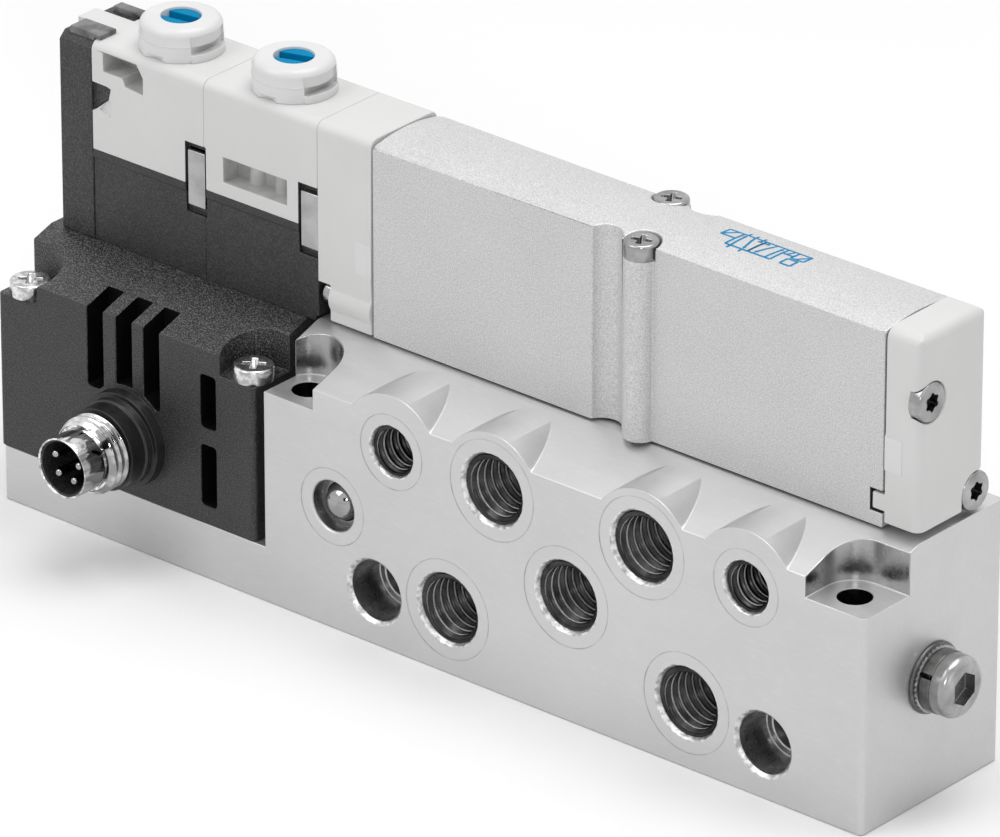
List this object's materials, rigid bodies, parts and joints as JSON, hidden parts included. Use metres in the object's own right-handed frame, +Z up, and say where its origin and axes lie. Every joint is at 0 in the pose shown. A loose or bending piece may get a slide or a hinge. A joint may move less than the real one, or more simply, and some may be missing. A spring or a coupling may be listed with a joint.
{
  "type": "pneumatic solenoid valve",
  "caption": "Narrow five-port solenoid valve with pilot heads, manual overrides and end cap, screwed on a ported metal sub-base with an electrical plug housing.",
  "frame": {"origin": "centre of the sub-base's underside", "axes": "+X along the valve from the pilots to the end cap, +Y from the port face to the back, +Z up"},
  "size_m": [0.1132, 0.0301, 0.0518],
  "materials": {
    "base_metal": "matte",
    "body_metal": "satin",
    "white_plastic": "matte",
    "cap_plastic": "satin",
    "black_plastic": "matte",
    "blue_plastic": "gloss",
    "plunger_plastic": "matte",
    "steel": "satin",
    "nickel": "polished",
    "dark_steel": "matte",
    "core_iron": "satin",
    "contact_gold": "polished",
    "seal_rubber": "matte",
    "winding_wire": "satin",
    "board_green": "satin"
  },
  "bodies": {
    "valve": {"sub_base": "base_metal", "sealing_ball": "nickel", "valve_body": "body_metal", "base_gasket": "seal_rubber", "captive_screws": "steel", "end_cap": "white_plastic", "end_cap_gasket": "seal_rubber", "end_cap_screws": "steel", "adapter": "white_plastic", "adapter_gasket": "seal_rubber", "adapter_screws": "steel", "pilot_cover_outer": "white_plastic", "pilot_cover_inner": "white_plastic", "coil_housing_outer": "black_plastic", "coil_housing_inner": "black_plastic", "bobbin_outer": "cap_plastic", "bobbin_inner": "cap_plastic", "winding_outer": "winding_wire", "winding_inner": "winding_wire", "pole_core_outer": "core_iron", "pole_core_inner": "core_iron", "armature_spring_outer": "steel", "armature_spring_inner": "steel", "override_cap_outer": "cap_plastic", "override_cap_inner": "cap_plastic", "override_spring_outer": "steel", "override_spring_inner": "steel", "coil_pins_outer": "contact_gold", "coil_pins_inner": "contact_gold", "terminal_block": "black_plastic", "retaining_clips": "steel", "end_plate": "black_plastic", "plug_housing": "black_plastic", "housing_screws": "steel", "circuit_board": "board_green", "connector_sleeve": "nickel", "connector_insert": "black_plastic", "connector_pins": "contact_gold", "earth_screw": "steel", "lock_washer": "dark_steel", "contact_washer": "dark_steel"},
    "spool": {"spool": "body_metal", "spool_seals": "seal_rubber", "piston_left": "white_plastic", "piston_right": "white_plastic", "piston_seals": "seal_rubber"},
    "armature_outer": {"armature_outer": "core_iron"},
    "armature_inner": {"armature_inner": "core_iron"},
    "override_outer": {"override_plunger_outer": "plunger_plastic"},
    "override_inner": {"override_plunger_inner": "plunger_plastic"},
    "button_outer": {"override_button_outer": "blue_plastic"},
    "button_inner": {"override_button_inner": "blue_plastic"}
  },
  "joints": [
    {"name": "spool_slide", "type": "slide", "parent": "valve", "child": "spool", "axis": [1, 0, 0], "range_m": [0, 0.0017]},
    {"name": "armature_outer_slide", "type": "slide", "parent": "valve", "child": "armature_outer", "axis": [0, 0, -1], "range_m": [0, 0.0004], "stiffness_N_per_m": 500, "springref_m": -0.001, "deforming": ["armature_spring_outer"]},
    {"name": "armature_inner_slide", "type": "slide", "parent": "valve", "child": "armature_inner", "axis": [0, 0, -1], "range_m": [0, 0.0004], "stiffness_N_per_m": 500, "springref_m": -0.001, "deforming": ["armature_spring_inner"]},
    {"name": "override_outer_push", "type": "slide", "parent": "valve", "child": "override_outer", "axis": [0, 0, -1], "range_m": [0, 0.001], "stiffness_N_per_m": 1000, "springref_m": -0.001, "deforming": ["override_spring_outer"]},
    {"name": "override_inner_push", "type": "slide", "parent": "valve", "child": "override_inner", "axis": [0, 0, -1], "range_m": [0, 0.001], "stiffness_N_per_m": 1000, "springref_m": -0.001, "deforming": ["override_spring_inner"]},
    {"name": "button_outer_turn", "type": "hinge", "parent": "override_outer", "child": "button_outer", "pos_m": [-0.04133, 0.0023, 0.0505], "axis": [0, 0, 1], "range_deg": [0, 90]},
    {"name": "button_inner_turn", "type": "hinge", "parent": "override_inner", "child": "button_inner", "pos_m": [-0.02668, 0.0023, 0.0505], "axis": [0, 0, 1], "range_deg": [0, 90]}
  ]
}
